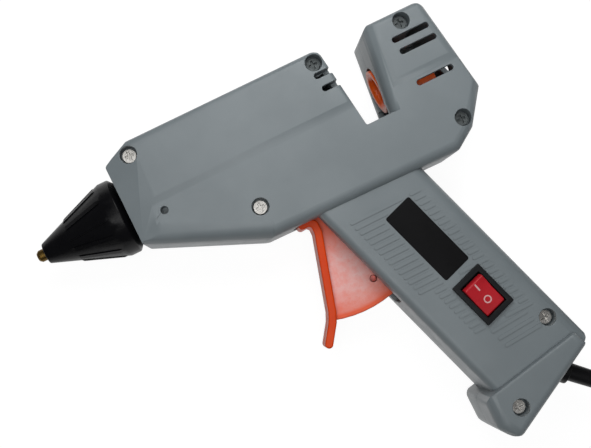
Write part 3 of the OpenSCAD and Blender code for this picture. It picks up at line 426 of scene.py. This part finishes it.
def plug_pin_metal():
    """Nickel pins whose near half is sleeved in black plastic."""
    f = Finish("plug_pin_metal")
    along = f.add("ShaderNodeVectorMath", {"operation": "DOT_PRODUCT"}, {0: f.place, 1: PLUG_DIR},
                  output="Value")
    start = gun(PLUG_AT.x, PLUG_AT.y).dot(PLUG_DIR) / MM
    sleeve = f.within(along * PER_M - start, inner=45.8, outer=46.2)
    fine = f.noise(scale=1400, detail=3)
    return f.wear(f.mix(sleeve, paint(206, 204, 196), paint(22, 22, 24)),
                  f.spread(fine, 0.22, 0.34) + sleeve * 0.2, f.bump(fine, strength=0.2, depth=0.01),
                  metallic=1 - sleeve)


SHELL_GREY = moulded_plastic("shell_grey", (127, 136, 140), 0.44, drift=3)
PHENOLIC = moulded_plastic("nose_black", (9, 9, 12), 0.34, grain=1500, depth=0.03, drift=3,
                           specular_ior_level=0.16)
TRIGGER_ORANGE = trigger_plastic()
FEED_ORANGE = moulded_plastic("feed_orange", (236, 94, 22), 0.38)
ROCKER_RED = rocker_plastic()
BEZEL_BLACK = moulded_plastic("bezel_black", (27, 29, 31), 0.42, drift=4, specular_ior_level=0.16)
PLATE_BLACK = moulded_plastic("plate_black", (11, 11, 13), 0.40, grain=1200, depth=0.008, drift=2,
                              specular_ior_level=0.12)
CORD_BLACK = moulded_plastic("cord_black", (17, 17, 19), 0.38, grain=1400, drift=3,
                             specular_ior_level=0.25)
GLAND_BLACK = moulded_plastic("gland_black", (16, 16, 18), 0.42, grain=1600, drift=3,
                              specular_ior_level=0.2)
TIE_BLACK = moulded_plastic("tie_black", (34, 34, 36), 0.55, grain=3000, depth=0.05, drift=5)
WIRE_BLUE = moulded_plastic("wire_blue", (40, 82, 168), 0.36)
WIRE_BROWN = moulded_plastic("wire_brown", (112, 68, 38), 0.36)
SLEEVE_RED = moulded_plastic("sleeve_red", (150, 62, 48), 0.55, depth=0.03)
CERAMIC = moulded_plastic("heater_ceramic", (150, 146, 140), 0.62, grain=3000, depth=0.03)
MICA = moulded_plastic("mica_sheet", (206, 188, 150), 0.40, grain=500, drift=14)
SCREW_STEEL = screw_metal()
PIN_STEEL = metal("pin_steel", (176, 177, 178), 0.26)
SPRING_STEEL = metal("spring_steel", (168, 169, 170), 0.30)
BAND_STEEL = metal("band_steel", (182, 182, 180), 0.34)
NOZZLE_BRASS = metal("nozzle_brass", (112, 90, 48), 0.40, drift=34)
BLADE_BRASS = metal("blade_brass", (196, 160, 88), 0.28)
CHAMBER_ALLOY = metal("chamber_alloy", (186, 188, 190), 0.44)
PLUG_PIN = plug_pin_metal()


# Camera, where the photograph was taken from: nearly straight above the left side, the barrel turned up
CAMERA_AT = gun(27.0, -54.8, 421.0)
CAMERA_AIM = gun(62.2, -34.4, -21.0)
BARREL_TURN = math.radians(26.4)
SENSOR_WIDTH = 36
LENS = 60.43

camera = bpy.data.objects.new("camera", bpy.data.cameras.new("camera"))
bpy.context.scene.collection.objects.link(camera)
camera.data.sensor_width = SENSOR_WIDTH
camera.data.lens = LENS
back = (CAMERA_AT - CAMERA_AIM).normalized()
right = Vector((math.cos(BARREL_TURN), -math.sin(BARREL_TURN), 0))
right = (right - back * right.dot(back)).normalized()
turn = Matrix((right, back.cross(right), back)).transposed()
camera.matrix_world = Matrix.Translation(CAMERA_AT) @ turn.to_4x4()
bpy.context.scene.camera = camera


# Cord: the same route as the part's solids, in mm, with heights over the floor
CORD_D = 6.0
EXIT = Vector((151.618, -158.101))
EXIT_DIR = Vector((0.71934, -0.69466))
LEAD = ((164.2, -170.8, 20.6), (171.2, -177.5, 18.8), (177.6, -182.6, 16.2), (184.2, -186.9, 13.1),
        (191.8, -190.6, 9.6), (200.3, -193.6, 6.4), (209.7, -195, 4.5), (219, -194.2, 3.9),
        (227, -191.4, 3.9))
# Coil: two layers, wound inwards on the floor and outwards on top, from a start angle in degrees
COIL_MID = Vector((216, -146))
COIL_START = 310
COIL_TURNS = 6
COIL_R = 43.0
COIL_PITCH = 6.6
COIL_Z = 3.9
COIL_POINTS = 24
# Turns taken by half of the climb to the upper layer
CLIMB = 0.25
TAIL = ((257, -166.6, 10), (261, -159.6, 8.6), (264, -152, 6.8), (266, -144, 5.1), (267, -136, 3.8),
        (267.2, -127.6, 3.2), (266.4, -119.6, 4.4))


def on_coil(turn):
    half = COIL_TURNS / 2
    angle = math.radians(COIL_START + 360 * turn)
    radius = COIL_R - COIL_PITCH * (half - abs(half - turn))
    rise = min(max((turn - half + CLIMB) / (2 * CLIMB), 0), 1)
    return Vector((COIL_MID.x + radius * math.cos(angle), COIL_MID.y + radius * math.sin(angle),
                   COIL_Z + COIL_PITCH * rise * rise * (3 - 2 * rise)))


def cord_route():
    into, out = on_coil(0), on_coil(COIL_TURNS)
    start = math.radians(COIL_START)
    step = CORD_D * Vector((-math.sin(start), math.cos(start), 0))
    route = [Vector((*EXIT, SEAM_HEIGHT)), Vector((*(EXIT + CORD_D * EXIT_DIR), SEAM_HEIGHT))]
    route += [Vector(p) for p in LEAD]
    route += [into - 2 * step, into - step]
    route += [on_coil(i / COIL_POINTS) for i in range(COIL_POINTS * COIL_TURNS + 1)]
    route += [out + step, out + 2 * step]
    route += [Vector(p) for p in TAIL]
    route += [PLUG_AT - CORD_D * PLUG_DIR, PLUG_AT]
    return [gun(p.x, p.y, p.z - SEAM_HEIGHT) for p in route]


def cord(route):
    line = bpy.data.curves.new("mains_cord", "CURVE")
    line.dimensions = "3D"
    line.bevel_depth = CORD_D / 2 * MM
    line.bevel_resolution = 5
    line.resolution_u = 4
    line.use_fill_caps = True
    spline = line.splines.new("BEZIER")
    spline.bezier_points.add(len(route) - 1)
    for i, point in enumerate(route):
        before, after = route[max(i - 1, 0)], route[min(i + 1, len(route) - 1)]
        along = (after - before).normalized()
        knot = spline.bezier_points[i]
        knot.co = point
        knot.handle_left = point - along * (point - before).length / 3
        knot.handle_right = point + along * (after - point).length / 3
    piece = bpy.data.objects.new("mains_cord", line)
    bpy.context.scene.collection.objects.link(piece)
    return piece


# Pieces that keep the shape of their CAD node, with edges rounded by a radius in mm
MOULDED = (
    ("left_shell", "left_half", SHELL_GREY, "grey_plastic", 0.25),
    ("right_shell", "right_half", SHELL_GREY, "grey_plastic", 0.3),
    ("casing_screws", "case_screws", SCREW_STEEL, "steel", 0.15),
    ("nose_cone", "ribbed_nose", PHENOLIC, "black_phenolic", 0.4),
    ("nozzle", "brass_tip", NOZZLE_BRASS, "brass", 0.25),
    ("trigger", "finger_trigger", TRIGGER_ORANGE, "orange_plastic", 0.7),
    ("feed_carriage", "feed_sled", FEED_ORANGE, "orange_plastic", 0.4),
    ("stick_clamp", "stick_ring", FEED_ORANGE, "orange_plastic", 0.4),
    ("cord_gland", "cord_boot", GLAND_BLACK, "black_plastic", 0.5),
    ("cord_tie", "coil_strap", TIE_BLACK, "black_plastic", 0.3),
    ("plug_body", "plug_grip", CORD_BLACK, "cord_rubber", 1.2),
    ("plug_pins", "plug_prongs", PLUG_PIN, "steel", 0.5),
    ("switch_housing", "switch_frame", BEZEL_BLACK, "black_plastic", 0.3),
    ("switch_rocker", "switch_key", ROCKER_RED, "red_plastic", 0.4),
    ("rating_plate", "bare_plate", PLATE_BLACK, "black_plate", 0.2),
    ("melt_chamber", "melt_block", CHAMBER_ALLOY, "aluminium", 0.25),
    ("heater_element", "heater_slab", CERAMIC, "ceramic", 0.15),
    ("contact_plates", "heater_plates", CHAMBER_ALLOY, "aluminium", 0.06),
    ("insulating_sheets", "heater_sheets", MICA, "mica", 0.04),
    ("inlet_sleeve", "silicone_sleeve", SLEEVE_RED, "silicone", 0.2),
    ("sleeve_band", "sleeve_clip", BAND_STEEL, "steel", 0.12),
    ("stick_guide", "guide_tube", PHENOLIC, "black_phenolic", 0.25),
    ("drive_pin", "sled_pin", PIN_STEEL, "steel", 0.2),
    ("trigger_pin", "pivot_pin", PIN_STEEL, "steel", 0.2),
    ("switch_terminals", "switch_blades", BLADE_BRASS, "brass", 0.15),
    ("cord_clamp", "cord_bar", BEZEL_BLACK, "black_plastic", 0.25),
    ("cord_clamp_screws", "bar_screws", SCREW_STEEL, "steel", 0.3),
)
# The cord's end and the wires inside
WOUND = (
    ("cord_inner", "cord_end", CORD_BLACK, "cord_rubber"),
    ("neutral_wire", "blue_wire", WIRE_BLUE, "wire_blue"),
    ("live_wire", "brown_wire", WIRE_BROWN, "wire_brown"),
    ("switched_wire", "switched_brown_wire", WIRE_BROWN, "wire_brown"),
)
for node, name, finish, slot, radius in MOULDED:
    fit(moulded(node, name, radius), finish, slot, node)
for node, name, finish, slot in WOUND:
    fit(wound(node, name), finish, slot, node)

cord_points = cord_route()
mains_cord = fit(cord(cord_points), CORD_BLACK, "cord_rubber", "cord_lead", "cord_coil", "cord_tail")
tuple(cord_points[0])

# The return spring gets a mesh of its own (the real spring shortens towards its seat as the sled comes
# forward)
spring = fit(wound("return_spring", "feed_spring"), SPRING_STEEL, "steel", "return_spring")
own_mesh(spring)


# Pale floor and soft light, in m and W
WHITE = (1, 1, 1, 1)
FLOOR_SIZE = 40
FLOOR_DROP = 0.2 * MM
FLOOR_GREYS = (0.40, 0.42)
# The floor glows only where it is seen, straight or in a reflection, by this share, so that it is white there
FLOOR_GLOW = 1.55
GLOW_SHARE = 0.6
ROOM_LIGHT = 0.13
LIGHT_AIM = gun(60, -50)


def pale_floor():
    f = Finish("pale_floor", roughness=0.9, specular_ior_level=0.1)
    seen = f.add("ShaderNodeLightPath", output="Is Camera Ray")
    mirrored = f.add("ShaderNodeLightPath", output="Is Glossy Ray")
    through = f.add("ShaderNodeLightPath", output="Is Transmission Ray")
    dark, light = ((level, level, level, 1) for level in FLOOR_GREYS)
    f.feed(f.shader.inputs["Base Color"], f.mix(f.noise(scale=12), dark, light))
    glow = f.add("ShaderNodeEmission", sockets={"Color": WHITE, "Strength": FLOOR_GLOW})
    glowing = f.add("ShaderNodeMath", {"operation": "ADD", "use_clamp": True},
                    {0: seen + mirrored, 1: through})
    surface = f.add("ShaderNodeMixShader", sockets={0: glowing * GLOW_SHARE,
                                                    1: Value(f, f.shader.outputs[0]), 2: glow})
    f.feed(f.tree.nodes["Material Output"].inputs["Surface"], surface)
    return f.material


def softbox(name, at, size, power):
    lamp = bpy.data.lights.new(name, "AREA")
    lamp.shape = "SQUARE"
    lamp.size = size
    lamp.energy = power
    box = bpy.data.objects.new(name, lamp)
    bpy.context.scene.collection.objects.link(box)
    facing = (Vector(at) - LIGHT_AIM).to_track_quat("Z", "Y")
    box.matrix_world = Matrix.Translation(at) @ facing.to_matrix().to_4x4()


bpy.ops.object.select_all(action="DESELECT")
bpy.ops.mesh.primitive_plane_add(size=FLOOR_SIZE, location=(0, 0, -FLOOR_DROP))
floor = bpy.context.object
floor.name = "floor"
floor.data.materials.append(pale_floor())

world = bpy.data.worlds.new("soft_room")
world.use_nodes = True
world.node_tree.nodes["Background"].inputs["Color"].default_value = WHITE
world.node_tree.nodes["Background"].inputs["Strength"].default_value = ROOM_LIGHT
bpy.context.scene.world = world

softbox("key_box", at=(0.08, 0.20, 0.30), size=0.22, power=0.52)
softbox("fill_box", at=(-0.12, -0.08, 0.80), size=0.4, power=1.7)

bpy.context.scene.view_settings.view_transform = "Standard"
